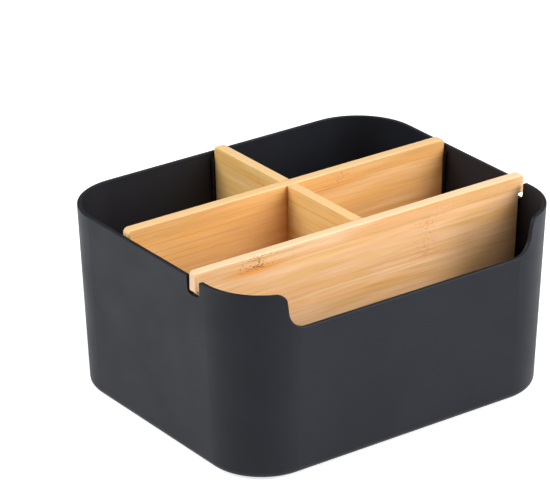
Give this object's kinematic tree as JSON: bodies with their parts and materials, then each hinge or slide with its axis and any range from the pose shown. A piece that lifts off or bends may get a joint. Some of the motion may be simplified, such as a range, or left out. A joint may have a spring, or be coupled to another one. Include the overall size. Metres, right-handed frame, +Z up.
{
  "type": "desk organizer",
  "caption": "Open desk tub with rounded corners and a low front cut-out, divided by lift-out bamboo boards, a lugged one in side notches and a half-lapped cross.",
  "frame": {"origin": "below the middle of the tub, on the surface that the foot pads stand on", "axes": "+X to the right as seen from the low front side, +Y to the back, +Z up"},
  "size_m": [0.1924, 0.158, 0.0985],
  "materials": {
    "tub_plastic": "fine matt texture",
    "bamboo": "satin lacquer",
    "pad_rubber": "matt"
  },
  "bodies": {
    "tub": {"tub": "tub_plastic", "foot_pad_front_left": "pad_rubber", "foot_pad_front_right": "pad_rubber", "foot_pad_rear_left": "pad_rubber", "foot_pad_rear_right": "pad_rubber"},
    "front_divider": {"front_divider": "bamboo"},
    "cross_divider": {"cross_divider": "bamboo"},
    "rear_divider": {"rear_divider": "bamboo"}
  },
  "joints": [
    {"name": "front_divider_lift", "type": "slide", "parent": "tub", "child": "front_divider", "axis": [0, 0, 1], "range_m": [0, 0.11]},
    {"name": "cross_divider_lift", "type": "slide", "parent": "tub", "child": "cross_divider", "axis": [0, 0, 1], "range_m": [0, 0.11]},
    {"name": "rear_divider_lift", "type": "slide", "parent": "cross_divider", "child": "rear_divider", "axis": [0, 0, 1], "range_m": [0, 0.11]}
  ]
}
